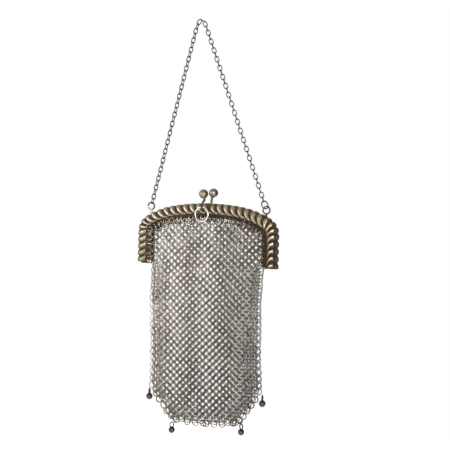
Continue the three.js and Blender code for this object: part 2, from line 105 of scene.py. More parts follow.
def tarnished_silver(name, stops, rough, grain_mm, tarnish, spread, hollows=0.0, by_ring=0.0,
                     toward=None):
    """Silver that is bright where it is rubbed and brown where sulphide has stayed. `tarnish` is how far
    the whole piece has gone, `spread` how blotchy it is, `hollows` how much darker the places marked in the
    mesh go (patina, and in the frame's recesses painted shade too), `by_ring` how much one ring differs from
    the next, and `toward` how much painted shade is added for each metre to the right and each metre down."""
    material = bpy.data.materials.new(name)
    material.use_nodes = True
    tree = material.node_tree
    tree.nodes.clear()
    place = add_node(tree, "ShaderNodeTexCoord").outputs["Object"]
    blotches = add_node(tree, "ShaderNodeTexNoise", links={"Vector": place},
                        sockets={"Scale": 1000 / grain_mm, "Detail": 5.0, "Roughness": 0.6})
    tarnish_and_shade = add_node(tree, "ShaderNodeMath", links={0: blotches.outputs["Fac"]},
                    sockets={1: spread, 2: tarnish - spread / 2}, operation="MULTIPLY_ADD")
    # The marked places go darker: patina, and on the frame painted shade in the grooves and the flange's
    # recess
    if hollows:
        sunk = add_node(tree, "ShaderNodeAttribute", attribute_name="hollow")
        tarnish_and_shade = add_node(tree, "ShaderNodeMath", links={0: sunk.outputs["Fac"], 2: tarnish_and_shade.outputs[0]},
                        sockets={1: hollows}, operation="MULTIPLY_ADD")
    if by_ring:
        island = add_node(tree, "ShaderNodeNewGeometry").outputs["Random Per Island"]
        shift = add_node(tree, "ShaderNodeMath", links={0: island},
                         sockets={1: by_ring, 2: -by_ring / 2}, operation="MULTIPLY_ADD")
        tarnish_and_shade = add_node(tree, "ShaderNodeMath", links={0: tarnish_and_shade.outputs[0], 1: shift.outputs[0]},
                        operation="ADD")
    # Painted shade: the colour darkens to the right and below GRADIENT_HEIGHT, where the light falls off
    if toward:
        aside = add_node(tree, "ShaderNodeVectorMath", links={0: place},
                         sockets={1: (toward[0], 0, -toward[1])}, operation="DOT_PRODUCT")
        tarnish_and_shade = add_node(tree, "ShaderNodeMath", links={0: tarnish_and_shade.outputs[0], 1: aside.outputs["Value"]},
                        operation="ADD")
        tarnish_and_shade = add_node(tree, "ShaderNodeMath", links={0: tarnish_and_shade.outputs[0]},
                        sockets={1: -GRADIENT_HEIGHT * toward[1]}, operation="SUBTRACT", use_clamp=True)
    colour = add_node(tree, "ShaderNodeValToRGB", links={"Fac": tarnish_and_shade.outputs[0]})
    ramp_stops(colour, stops)
    dull = add_node(tree, "ShaderNodeMapRange", links={"Value": tarnish_and_shade.outputs[0]},
                    sockets={"To Min": rough[0], "To Max": rough[1]})
    metal = add_node(tree, "ShaderNodeMapRange", links={"Value": tarnish_and_shade.outputs[0]},
                     sockets={"From Min": 0.5, "To Min": 1.0, "To Max": 0.45})
    scratches = add_node(tree, "ShaderNodeTexNoise", links={"Vector": place},
                         sockets={"Scale": 1000 / SCRATCH_MM, "Detail": 3.0})
    bump = add_node(tree, "ShaderNodeBump", links={"Height": scratches.outputs["Fac"]},
                    sockets={"Strength": SCRATCH_STRENGTH, "Distance": SCRATCH_DEPTH})
    shader = add_node(tree, "ShaderNodeBsdfPrincipled",
                      links={"Base Color": colour.outputs["Color"], "Roughness": dull.outputs[0],
                             "Metallic": metal.outputs[0], "Normal": bump.outputs[0]})
    add_node(tree, "ShaderNodeOutputMaterial", links={"Surface": shader.outputs[0]})
    return material


# Stamped antique silver: cream on the rubbed ridges, brown-black sulphide in the grooves and recesses with
# painted shade there too, and painted shade growing to the right and down
STAMPED = tarnished_silver(
    "stamped antique silver",
    [(0.0, "#dcd2c3"), (0.3, "#a69a88"), (0.62, "#5f513e"), (1.0, "#2e2012")],
    rough=(0.24, 0.6), grain_mm=1.6, tarnish=0.24, spread=0.35, hollows=0.8, toward=(1.5, 6.0))
# Clasp balls, turned smooth and duller than the stamping
TURNED = tarnished_silver(
    "turned silver",
    [(0.0, "#c9c0b1"), (0.45, "#96897a"), (1.0, "#3a2f22")],
    rough=(0.34, 0.55), grain_mm=2.5, tarnish=0.36, spread=0.5, hollows=0.6)
# Drawn silver wire, worn where link rubs on link
DRAWN_WIRE = tarnished_silver(
    "drawn silver wire",
    [(0.0, "#beb6aa"), (0.4, "#787065"), (1.0, "#312b22")],
    rough=(0.25, 0.5), grain_mm=1.2, tarnish=0.62, spread=0.5, by_ring=0.2)
# The hanging ring, handled every day and bright
BRIGHT_WIRE = tarnished_silver(
    "rubbed silver wire",
    [(0.0, "#f2ecdf"), (0.5, "#cfc5b2"), (1.0, "#8d816c")],
    rough=(0.3, 0.5), grain_mm=1.2, tarnish=0.2, spread=0.4)
# Mesh of fine silver wire: brownish grey, with rings that have tarnished more than their neighbours, and
# painted shade growing to the right and down
MESH_WIRE = tarnished_silver(
    "silver mesh wire",
    [(0.0, "#d9d0c4"), (0.4, "#857a6c"), (1.0, "#261f16")],
    rough=(0.16, 0.36), grain_mm=6.0, tarnish=0.38, spread=0.4, by_ring=0.65, toward=(4.4, 3.8))
# Drops that have gone nearly gunmetal
DARK_DROP = tarnished_silver(
    "darkened silver drop",
    [(0.0, "#8a857e"), (0.5, "#4b4742"), (1.0, "#1f1d1a")],
    rough=(0.3, 0.5), grain_mm=1.5, tarnish=0.5, spread=0.6, hollows=0.8)


# ---------------------------------------------------------------- shaping

def finish_piece(name, shape, material, nodes, place=PURSE, body="purse"):
    """Puts a finished shape in the scene in place of the solids that it stands for."""
    bmesh.ops.transform(shape, matrix=TO_METRES @ place, verts=shape.verts)
    bmesh.ops.recalc_face_normals(shape, faces=shape.faces)
    mesh = bpy.data.meshes.new(name)
    shape.to_mesh(mesh)
    shape.free()
    mesh.shade_smooth()
    mesh.materials.append(material)
    piece = bpy.data.objects.new(name, mesh)
    bpy.context.scene.collection.objects.link(piece)
    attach(piece, body)
    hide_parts(*nodes)


def wire_ring(shape, outer, wire, turns, sides, outer_length=None):
    """A wire ring in the XY plane, or an oval link when it is longer along Y: a small circle spun round."""
    start = (Matrix.Rotation(math.pi / turns, 4, "Z") @ Matrix.Translation(((outer - wire) / 2, 0, 0))
             @ Matrix.Rotation(math.pi / 2, 4, "X"))
    section = bmesh.ops.create_circle(shape, segments=sides, radius=wire / 2, matrix=start)["verts"]
    edges = list({edge for vert in section for edge in vert.link_edges})
    bmesh.ops.spin(shape, geom=section + edges, axis=(0, 0, 1), angle=math.tau, steps=turns,
                   use_merge=True)
    if outer_length:
        for vert in shape.verts:
            vert.co.y += math.copysign((outer_length - outer) / 2, vert.co.y)


def pattern(make, *sizes):
    """A shape kept as a mesh, to be set out many times."""
    shape = bmesh.new()
    make(shape, *sizes)
    mesh = bpy.data.meshes.new("pattern")
    shape.to_mesh(mesh)
    shape.free()
    return mesh


def set_out(shape, mesh, places):
    """Adds a copy of a pattern at each place."""
    for place in places:
        copy = mesh.copy()
        copy.transform(place)
        shape.from_mesh(copy)
        bpy.data.meshes.remove(copy)


def stand(centre, along, normal):
    """The place for something drawn in XY: its Y goes along `along`, its Z along `normal`."""
    y = Vector(along).normalized()
    z = Vector(normal)
    z = (z - y * z.dot(y)).normalized()
    x = y.cross(z)
    place = Matrix((x, y, z)).transposed().to_4x4()
    place.translation = centre
    return place


def drawn_rod(shape, path, widths, sides):
    """A rod along a path of points: a circle extruded from one to the next, with a width at each."""
    ahead = [path[min(i + 1, len(path) - 1)] - path[max(i - 1, 0)] for i in range(len(path))]
    places = [stand(point, Vector((0.1, 1, 0)).cross(way), way) for point, way in zip(path, ahead)]
    loop = bmesh.ops.create_circle(shape, cap_ends=True, segments=sides, radius=widths[0] / 2,
                                   matrix=places[0])["verts"]
    edges = list({edge for vert in loop for edge in vert.link_edges})
    for i in range(1, len(path)):
        made = bmesh.ops.extrude_edge_only(shape, edges=edges)["geom"]
        loop = [item for item in made if isinstance(item, bmesh.types.BMVert)]
        edges = [item for item in made if isinstance(item, bmesh.types.BMEdge)
                 and all(vert in loop for vert in item.verts)]
        grow = Matrix.Scale(widths[i] / widths[i - 1], 4)
        bmesh.ops.transform(shape, matrix=places[i] @ grow @ places[i - 1].inverted(), verts=loop)
    bmesh.ops.contextual_create(shape, geom=edges)


def passed(value, start, length):
    """How much of a stretch a value has passed: 0 before its start, 1 past its end."""
    return min(max((value - start) / length, 0.0), 1.0)


def smooth_row(rows, share):
    """The row at a share of the way through a table, on a smooth curve through its rows."""
    spot = min(max(share, 0.0), 1.0) * (len(rows) - 1)
    i = min(int(spot), len(rows) - 2)
    t = spot - i
    before, here, after, beyond = (rows[min(max(i + k, 0), len(rows) - 1)] for k in (-1, 0, 1, 2))
    return [0.5 * (2 * b + (c - a) * t + (2 * a - 5 * b + 4 * c - d) * t * t
                   + (3 * b - 3 * c + d - a) * t ** 3)
            for a, b, c, d in zip(before, here, after, beyond)]


# ---------------------------------------------------------------- the arch

HALF_FRAME = 43.7
FRAME_HEIGHT = 34.8
# The back half's legs are longer by this much
BACK_LEG_EXTRA = 1.0
# The halves part half this far from the middle plane on each side; pieces keep this clear of each other
HALF_SEAM, CLEARANCE = 0.15, 0.3
MOULDING_DEPTH = 4.2
# Arcs of the outer edge from the middle: radius as a share of half the width, turn in degrees, lobes
ARCS = ((3.09, 8.5, 4.6), (1.213, 21.5, 4.5), (None, 60, 2.6))
LEG_LOBES = 4.6
FLANGE_EDGE = 8.5


def arch_spans():
    """The arcs with their start, then the leg."""
    spans, angle, x, z, lobes = [], 0.0, 0.0, 0.0, 0.0
    for share, degrees, count in ARCS:
        turn = math.radians(degrees)
        reach = math.sin(angle + turn) - math.sin(angle)
        radius = (HALF_FRAME - x) / reach if share is None else share * HALF_FRAME
        spans.append((lobes, count, radius, angle, turn, x, z))
        x += radius * reach
        z -= radius * (math.cos(angle) - math.cos(angle + turn))
        angle += turn
        lobes += count
    spans.append((lobes, LEG_LOBES, None, angle, 0.0, x, z))
    return spans


SPANS = arch_spans()
HALF_LOBES = SPANS[-1][0] + LEG_LOBES


def arch_point(lobes, inset, depth):
    """A point of the arch by lobes counted from the middle, moved in from the outer edge."""
    side, count = math.copysign(1, lobes), abs(lobes)
    start, length, radius, angle, turn, x, z = [s for s in SPANS if s[0] <= count + 1e-9][-1]
    share = (count - start) / length
    if radius is None:
        return Vector((side * (x - inset), depth, z - share * (FRAME_HEIGHT + z)))
    now = angle + share * turn
    return Vector((side * (x + radius * (math.sin(now) - math.sin(angle)) - inset * math.sin(now)), depth,
                   z - radius * (math.cos(angle) - math.cos(now)) - inset * math.cos(now)))


# ---------------------------------------------------------------- frame

# The stamped section from where the halves part, round the outer edge and in: inset, depth from the middle
# plane, depth of the grooves between lobes, how far the lobes lean there in lobes, and how much darker the
# surface is there: patina, with painted shade where it turns away toward the seam and the flange
SECTION = (
    (1.55, 0.15, 0.45, 0.00, 0.95),
    (0.80, 0.60, 0.75, 0.00, 0.45),
    (0.15, 1.30, 1.00, 0.00, 0.10),
    (0.00, 2.15, 1.20, 0.00, 0.00),
    (0.35, 2.90, 1.40, 0.00, 0.00),
    (1.20, 3.45, 1.60, 0.02, 0.00),
    (2.40, 3.90, 1.75, 0.10, 0.00),
    (3.65, 4.22, 1.75, 0.30, 0.00),
    (4.80, 4.36, 1.50, 0.58, 0.05),
    (5.75, 3.95, 0.95, 0.82, 0.35),
    (6.40, 3.10, 0.20, 0.95, 0.90),
)
SECTION_STEPS = 26
# The plain rest of the section, round the flange and back: inset, depth, darkening (patina and painted shade
# in the flange's recess)
FLANGE = (
    (7.00, 2.95, 0.95), (8.30, 2.95, 0.90), (8.50, 2.80, 0.80), (8.50, 2.50, 0.85), (8.30, 2.40, 0.95),
    (5.50, 2.40, 1.00), (5.50, 0.15, 0.90),
)
# The lobes lean less down the left leg: share of the lean on the left leg, the arch and the right leg, and
# the lobes from the middle over which one share becomes the next
LEANS = (0.45, 0.85, 1.0)
LEAN_FROM, LEAN_OVER = 9.0, 3.0
# On its right leg the front half is tucked in at the outer side, and its lobes are narrower. This starts a
# little above the leg, and the narrowing starts at an inset and is whole further in.
FRONT_TUCK, FRONT_NARROW = 0.9, 1.5
TUCK_ABOVE_LEG, TUCK_OVER = 1.5, 3.0
NARROW_FROM, NARROW_OVER = 2, 4
STEPS_A_LOBE = 12
# A lobe's profile across: 2 is a half circle. Its darkening, patina and painted shade, rises toward the
# grooves as this power.
LOBE_POWER, DARKENING_POWER = 1.95, 0.65


def lobe_height(lobes):
    """How high a lobe stands, from 0 in its groove to 1 along its ridge."""
    across = 2 * (lobes - round(lobes))
    return math.sqrt(max(0.0, 1 - abs(across) ** LOBE_POWER))


def lean_share(lobes):
    """How much of the section's lean the lobes take at a place along the frame."""
    left = passed(-lobes, LEAN_FROM, LEAN_OVER)
    right = passed(lobes, LEAN_FROM, LEAN_OVER)
    return LEANS[1] + left * (LEANS[0] - LEANS[1]) + right * (LEANS[2] - LEANS[1])


def section_point(lobes, row):
    """Inset, depth and darkening (patina and painted shade) of the section's row at a place along the arch.
    """
    if row > SECTION_STEPS:
        return FLANGE[row - SECTION_STEPS - 1]
    share = row / SECTION_STEPS
    inset, depth, groove, lean, darkening = smooth_row(SECTION, share)
    ahead, behind = smooth_row(SECTION, share + 0.01), smooth_row(SECTION, share - 0.01)
    way = Vector((ahead[0] - behind[0], ahead[1] - behind[1])).normalized()
    height = lobe_height(lobes - lean * lean_share(lobes))
    cut = groove * (1 - height)
    # The grooves between lobes are darkened: patina and painted shade
    return inset + way.y * cut, depth - way.x * cut, max(darkening, (1 - height) ** DARKENING_POWER)


def stamped_half(shape, toward, leg_extra):
    """The moulding and flange of one half of the frame, toward the front (-1) or the back (+1)."""
    stations = 2 * round(HALF_LOBES * STEPS_A_LOBE)
    rows = SECTION_STEPS + 1 + len(FLANGE)
    bmesh.ops.create_grid(shape, x_segments=stations, y_segments=rows, size=1)
    darkening_layer = shape.verts.layers.float.new("hollow")
    for vert in shape.verts:
        lobes = vert.co.x * HALF_LOBES
        row = round((vert.co.y + 1) / 2 * rows) % rows
        inset, depth, darkening = section_point(lobes, row)
        vert.co = arch_point(lobes, inset, toward * depth)
        if toward < 0:
            down_leg = passed(lobes, SPANS[-1][0] - TUCK_ABOVE_LEG, TUCK_OVER)
            vert.co.x -= FRONT_TUCK * down_leg * (1 - inset / FLANGE_EDGE)
            if row <= SECTION_STEPS:
                vert.co.x += FRONT_NARROW * down_leg * passed(inset, NARROW_FROM, NARROW_OVER)
        if leg_extra and abs(lobes) > SPANS[-1][0]:
            vert.co.z -= leg_extra * (abs(lobes) - SPANS[-1][0]) / LEG_LOBES
        vert[darkening_layer] = darkening
    bmesh.ops.remove_doubles(shape, verts=shape.verts, dist=1e-4)
    open_edges = [edge for edge in shape.edges if edge.is_boundary]
    bmesh.ops.holes_fill(shape, edges=open_edges, sides=0)


# Lugs of the chain: distance from the middle on each side, size, and height above the arch's edge
LUG_PLACE = {-1: 35.4, 1: 37.4}
LUG_OUTER, LUG_WIRE, LUG_RISE = 5.0, 0.85, 4.1
# A lug's post: width, depth of its root, and rows of share of the root's depth and of the width
LUG_POST, LUG_ROOT = 1.3, 2.1
LUG_POST_ROWS = ((0, 0.75), (0.2, 0.9), (0.45, 1), (1, 1.15))
SEAT_SIZE, SEAT_PLACE, SEAT_ROUND = (3.6, 3.8, 3.1), 2.8, 0.7
# How much darker the lugs with their posts and the seat, the front stem, and the drops' links are
LUG_DARKENING, STEM_DARKENING, LINK_DARKENING = 0.8, 0.75, 0.9


def arch_height(x):
    """Height of the arch's outer edge at a distance from its middle."""
    low, high = 0.0, SPANS[-1][0]
    for _ in range(40):
        middle = (low + high) / 2
        low, high = (middle, high) if arch_point(middle, 0, 0).x < x else (low, middle)
    return arch_point(low, 0, 0).z


def lug_centre(side):
    place = LUG_PLACE[side]
    return Vector((side * place, LUG_DEPTH, arch_height(place) + LUG_RISE))


def darken(shape, from_vert, darkening):
    """Marks what was added to a shape since it had `from_vert` vertices as that much darker."""
    layer = shape.verts.layers.float.get("hollow") or shape.verts.layers.float.new("hollow")
    shape.verts.ensure_lookup_table()
    for vert in shape.verts[from_vert:]:
        vert[layer] = darkening


def frame_front():
    shape = bmesh.new()
    stamped_half(shape, -1, 0.0)
    stamped = len(shape.verts)
    loop = pattern(wire_ring, LUG_OUTER, LUG_WIRE, 28, 10)
    for side in (-1, 1):
        centre = lug_centre(side)
        set_out(shape, loop, [stand(centre, (0, 0, 1), (0, 1, 0))])
        foot = centre.z - LUG_OUTER / 2 + LUG_WIRE / 2
        path = [Vector((centre.x, centre.y, foot - share * LUG_ROOT)) for share, _ in LUG_POST_ROWS]
        drawn_rod(shape, path, [LUG_POST * width for _, width in LUG_POST_ROWS], 12)
    width, depth, height = SEAT_SIZE
    place = Matrix.Translation((SEAT_PLACE, -HALF_SEAM - depth / 2, -height / 2))
    seat = bmesh.ops.create_cube(shape, size=1,
                                 matrix=place @ Matrix.Diagonal((width, depth, height, 1)))["verts"]
    edges = list({edge for vert in seat for edge in vert.link_edges})
    bmesh.ops.bevel(shape, geom=edges, offset=SEAT_ROUND, offset_type="OFFSET", segments=4, profile=0.5,
                    affect="EDGES", material=-1)
    darken(shape, stamped, LUG_DARKENING)
    finish_piece("frame_front_stamping", shape, STAMPED, ["frame_front"])


def frame_back():
    shape = bmesh.new()
    stamped_half(shape, 1, BACK_LEG_EXTRA)
    finish_piece("frame_back_stamping", shape, STAMPED, ["frame_back"])


# ---------------------------------------------------------------- clasp and ring

# Balls of the clasp: size, gap, height, shift of the pair, depth from the middle plane, and how much
# higher the back one stands
KNOB, KNOB_GAP, KNOB_HEIGHT, KNOB_SHIFT, KNOB_SPLIT, KNOB_STAGGER = 5.3, 0.36, 5.3, 0.55, 1.0, 0.6
KNOB_SPREAD = math.sqrt((KNOB + KNOB_GAP) ** 2 - (2 * KNOB_SPLIT) ** 2) / 2
# Stems: width, how much thicker the front one is under its ball, and how much thinner at each step
STEM, STEM_TOP, STEM_TAPER = 1.4, 1.15, 0.03
FRONT_STEM_STEPS, BACK_STEM_STEPS, STEM_SIDES = 12, 8, 12
# Rows of the stems below their balls: share of the ball's place across, depth, height
FRONT_STEM = ((0.6, -1.5, 2.75), (0.3, -3.15, 1.4), (0.25, -5.05, 0.2))
BACK_STEM = ((0.6, 1.7, 2.75), (0.45, 2.1, 0.3))
EYELET_HOLE, EYELET_WIRE, EYELET_DROP = 1.6, 0.7, 2.3
EYELET_OUTER = EYELET_HOLE + 2 * EYELET_WIRE
EYELET_SHIFT, EYELET_FACE = -0.6, 0.93
EYELET = Vector((EYELET_SHIFT, -(HALF_SEAM + MOULDING_DEPTH * EYELET_FACE) - CLEARANCE - EYELET_OUTER / 2,
                 -EYELET_DROP))
RING_OUTER, RING_WIRE = 9.0, 0.95


def ball(shape, diameter, centre):
    bmesh.ops.create_uvsphere(shape, u_segments=28, v_segments=18, radius=diameter / 2,
                              matrix=Matrix.Translation(centre))


def clasp():
    front = Vector((KNOB_SHIFT - KNOB_SPREAD, -KNOB_SPLIT, KNOB_HEIGHT))
    shape = bmesh.new()
    ball(shape, KNOB, front)
    turned = len(shape.verts)
    path = [front, *(Vector((front.x * share, depth, height)) for share, depth, height in FRONT_STEM),
            EYELET + Vector((0, 0, (EYELET_HOLE + EYELET_WIRE) / 2))]
    steps = [Vector(smooth_row(path, i / FRONT_STEM_STEPS)) for i in range(FRONT_STEM_STEPS + 1)]
    drawn_rod(shape, steps, [STEM * (STEM_TOP - STEM_TAPER * i) for i in range(len(steps))], STEM_SIDES)
    eyelet = pattern(wire_ring, EYELET_OUTER, EYELET_WIRE, 20, 8)
    set_out(shape, eyelet, [stand(EYELET, (0, 0, 1), (1, 0, 0))])
    darken(shape, turned, STEM_DARKENING)
    finish_piece("clasp_ball_front", shape, TURNED, ["clasp_knob_front"])

    back = Vector((KNOB_SHIFT + KNOB_SPREAD, KNOB_SPLIT, KNOB_HEIGHT + KNOB_STAGGER))
    shape = bmesh.new()
    ball(shape, KNOB, back)
    path = [back, *(Vector((back.x * share, depth, height)) for share, depth, height in BACK_STEM)]
    steps = [Vector(smooth_row(path, i / BACK_STEM_STEPS)) for i in range(BACK_STEM_STEPS + 1)]
    drawn_rod(shape, steps, [STEM] * len(steps), STEM_SIDES)
    finish_piece("clasp_ball_back", shape, TURNED, ["clasp_knob_back"])

    shape = bmesh.new()
    wire_ring(shape, RING_OUTER, RING_WIRE, 48, 12)
    centre = EYELET - Vector((0, 0, (RING_OUTER - RING_WIRE) / 2))
    finish_piece("hanging_ring", shape, BRIGHT_WIRE, ["front_ring"],
                 place=PURSE @ stand(centre, (0, 0, 1), (0, 1, 0)), body="ring")


# ---------------------------------------------------------------- chain

LINK_WIDTH, LINK_LENGTH, LINK_WIRE = 2.8, 3.96, 0.62
LINK_PITCH = LINK_LENGTH - 2 * LINK_WIRE
# The bend over what the chain hangs on: its size, and rows of across and down as shares of it
BEND_SIZE = 3.4
BEND = ((1.0, 1.5), (0.62, 0.62), (0.3, 0.14))
JUMP_OUTER, JUMP_LENGTH, JUMP_WIRE, JUMP_SLACK, JUMP_TURN = 4.5, 5.2, 0.75, 0.45, math.radians(52)
# The right strand is turned about its length, and this far past the top it is turned in full
RIGHT_ROLL, ROLL_OVER = math.radians(-20), 8
# A link's direction is taken this far before and after its middle; its own turn varies by some degrees
WAY_REACH, LINK_SWAY = 1.3, 4
# The left strand runs on this far past the top
TOP_OVERLAP = 1.4
LUG_INNER = LUG_OUTER / 2 - LUG_WIRE
JUMP_INNER = JUMP_LENGTH / 2 - JUMP_WIRE


def handle():
    left_lug, right_lug = (PURSE @ lug_centre(side) for side in (-1, 1))
    along = (Vector((BEND_SIZE, 0, 0)) - right_lug).normalized()
    jump = right_lug + along * (LUG_INNER + JUMP_INNER - JUMP_SLACK)
    turned = Matrix.Rotation(JUMP_TURN, 3, along) @ Vector((0, -1, 0))
    shape = bmesh.new()
    wire_ring(shape, JUMP_OUTER, JUMP_WIRE, 28, 10, JUMP_LENGTH)
    finish_piece("jump_ring", shape, DRAWN_WIRE, ["jump_ring_right"],
                 place=stand(jump, along, turned))

    bend = [Vector((across, 0, -down)) * BEND_SIZE for across, down in BEND]
    left_bend = [Vector((-point.x, 0, point.z)) for point in bend]
    inner_length = LINK_LENGTH / 2 - LINK_WIRE
    start = left_lug + (left_bend[0] - left_lug).normalized() * (LUG_INNER + inner_length)
    end = jump + (bend[0] - jump).normalized() * (JUMP_INNER + inner_length)
    route = [start, *left_bend, Vector((0, 0, 0)), *reversed(bend), end]
    spacing = [(b - a).length for a, b in zip(route, route[1:])]
    total = sum(spacing)
    count = round(total / LINK_PITCH)

    def on_route(distance):
        for a, b, length in zip(route, route[1:], spacing):
            if distance <= length:
                return a.lerp(b, distance / length)
            distance -= length
        return route[-1]

    link = pattern(wire_ring, LINK_WIDTH, LINK_WIRE, 14, 6, LINK_LENGTH)
    half = sum(spacing[:4])
    strands = ([], [])
    for i in range(count + 1):
        distance = i * total / count
        centre = on_route(distance)
        way = on_route(distance + WAY_REACH) - on_route(distance - WAY_REACH)
        past_top = passed(distance, half, ROLL_OVER)
        roll = (math.pi / 2 * ((i + 1) % 2) + RIGHT_ROLL * past_top
                + math.radians(draws.uniform(-LINK_SWAY, LINK_SWAY)))
        normal = Matrix.Rotation(roll, 3, way.normalized()) @ Vector((0, -1, 0))
        strands[distance > half + TOP_OVERLAP].append(stand(centre, way, normal))
    for side, places in zip(("left", "right"), strands):
        shape = bmesh.new()
        set_out(shape, link, places)
        finish_piece(f"chain_links_{side}", shape, DRAWN_WIRE, [f"chain_{side}"],
                     place=HERE)


# ---------------------------------------------------------------- bag

BAG_LENGTH, BAG_HALF_WIDTH, BAG_HALF_DEPTH, FOLD_DEPTH, FOLDS = 92.7, 36.4, 4.5, 0.3, 2.5
# The wires' middles lie this far inside the solid's outline at the sides, and in its face
SIDE_SKIN, FACE_SKIN = 1.4, 1.3
# Rows turn back from the frame's tilt toward level, and the bag hangs a little to the left
BAG_LEAN, BAG_SHIFT, SHIFT_DROP = math.radians(3), -1.1, 0.2
# Bag below the frame: drop as a share of its length; half width, half depth and fold as shares
BAG = (
    (0.0, 0.955, 0.93, 0.0), (0.035, 0.995, 0.95, 0.1), (0.14, 0.985, 1.0, 0.5), (0.34, 0.975, 1.0, 1.0),
    (0.56, 0.965, 1.0, 1.0), (0.775, 0.99, 0.97, 0.7), (0.86, 0.84, 0.92, 0.5), (0.95, 0.665, 0.72, 0.2),
    (0.98, 0.58, 0.58, 0.1), (0.994, 0.4, 0.5, 0.0), (1.0, 0.18, 0.42, 0.0),
)
# Within the frame the sheets hang flat at this depth, and turn into the bag between two heights
MOUTH_DEPTH = 2.9
FLAT_ABOVE, ROUND_BELOW = -33.0, -37.5
# Mesh rings: size, wire, lean out of the face; and the thicker wire of those at the flange and the edge
RING_DIAMETER, RING_GAUGE, RING_TILT = 4.4, 0.52, math.radians(27)
FLANGE_GAUGE = 0.68
ROW_PITCH = 1.92
# Rings within this reach of a side fold turn round it
FOLD_TURN, FOLD_REACH = math.radians(42), 3.0
# Small differences of a hand-set ring: lean and turn in degrees, and place
RING_LEAN_SWAY, RING_TURN_SWAY, RING_DRIFT = 4, 5, 0.06
# The columns go round the bag as round a tube, which is turned a little
RINGS_AROUND = 33
TUBE_TURN = 0.42
# Heights: the top row, the last row within the frame, where the corners are cut, and the bottom
MESH_TOP, FRAME_ROW, CORNER = -10.7, -36.8, -106.6
BAG_BOTTOM = -FRAME_HEIGHT - BAG_LENGTH
# Within the frame rings reach this far from the middle and this far over the flange's edge
FRAME_REACH, FLANGE_OVERLAP, LEG_END = 36.6, 0.9, -34.7
# Rings of the faces end this far inside the cut corners and above the bottom
CORNER_MARGIN, BOTTOM_MARGIN = 1.7, 2.9
# The back hangs a little lower row by row than the front, counted from the photograph's eye level
EYE_LEVEL, BACK_SAG = -12.4, 0.0106
# Where the two faces' columns have slid apart, and how far
SLACK, CLEAR_MIDDLE = 0.6, 0.5
# Width of the bands so made: left of the middle, right of it, and how much wider those get further down,
# from one height over a stretch. They fade out toward the side folds.
LEFT_BAND, RIGHT_BAND, BAND_GROWS, GROWS_BELOW, GROWS_OVER = 22, 28.5, 26.5, -60, 40
FADE_FROM, FADE_OVER = 27, 6
# Rings along the cut corners and the bottom: inset, steps along each, and where the corners' steps end
EDGE_INSET, EDGE_STEP, BOTTOM_STEP, BOTTOM_WITHIN = 1.7, 3.9, 4.7, 20
EDGE_START, EDGE_POINTS, EDGE_DRIFT, EDGE_SWAY = 1.5, 60, 0.12, 0.16
# Rings through the flange: step, places tried, inset from its edge, depth inside the sheet, sway in degrees
FLANGE_STEP, FLANGE_TRIES, HOLD_INSET, HOLD_DEPTH, HOLD_SWAY = 2.45, 1200, 0.1, 0.1, 9
SAMPLES = 80
# How square the bag is across at its side folds
FOLD_POWER = 5


def bag_level(z):
    """Half width, half depth and fold of the bag's wires at a height below the frame."""
    drop = min(max((-FRAME_HEIGHT - z) / BAG_LENGTH, 0.0), 1.0)
    for low, high in zip(BAG, BAG[1:]):
        if drop <= high[0]:
            t = (drop - low[0]) / (high[0] - low[0])
            width, depth, fold = (a + (b - a) * t for a, b in zip(low[1:], high[1:]))
            return width * BAG_HALF_WIDTH - SIDE_SKIN, depth * BAG_HALF_DEPTH - FACE_SKIN, fold * FOLD_DEPTH


def girth(z, side):
    """Points of one face of the bag at a height, from side fold to side fold, with the distance along it."""
    half_width, half_depth, fold = bag_level(z)
    points = []
    for i in range(SAMPLES + 1):
        share = 2 * i / SAMPLES - 1
        bulge = side * half_depth * (1 - abs(share) ** FOLD_POWER)
        wave = fold * math.sin(share * half_width / (2 * BAG_HALF_WIDTH) * FOLDS * math.tau)
        points.append(Vector((share * half_width, bulge + wave, z)))
    distances = [0.0]
    for a, b in zip(points, points[1:]):
        distances.append(distances[-1] + (b - a).length)
    half = distances[-1] / 2
    return points, [d - half for d in distances], half


def hung(point):
    """A point of the bag moved to where it hangs plumb below the tilted frame, its row leaning back."""
    fall = max(0.0, -FRAME_HEIGHT - point.z)
    aside = fall * math.tan(HANG_TILT) + BAG_SHIFT * min(1.0, fall / BAG_LENGTH / SHIFT_DROP)
    return point + Vector((aside, 0, point.x * math.tan(BAG_LEAN) * fall / BAG_LENGTH))


levels = {}


def on_bag(z, side, across):
    """The point of one face (-1 front, +1 back) at a height and a distance across from its middle."""
    key = (round(z, 3), side)
    if key not in levels:
        levels[key] = girth(*key)
    points, distances, half = levels[key]
    share = min(max(across, -half), half)
    i = next((k for k in range(SAMPLES) if distances[k + 1] >= share), SAMPLES - 1)
    point = points[i].lerp(points[i + 1], (share - distances[i]) / (distances[i + 1] - distances[i]))
    flat = passed(z, ROUND_BELOW, FLAT_ABOVE - ROUND_BELOW)
    flat = flat * flat * (3 - 2 * flat)
    return hung(point.lerp(Vector((across, side * MOUTH_DEPTH, z)), flat))


def side_reach(z):
    on_bag(z, -1, 0)
    return levels[(round(z, 3), -1)][2]


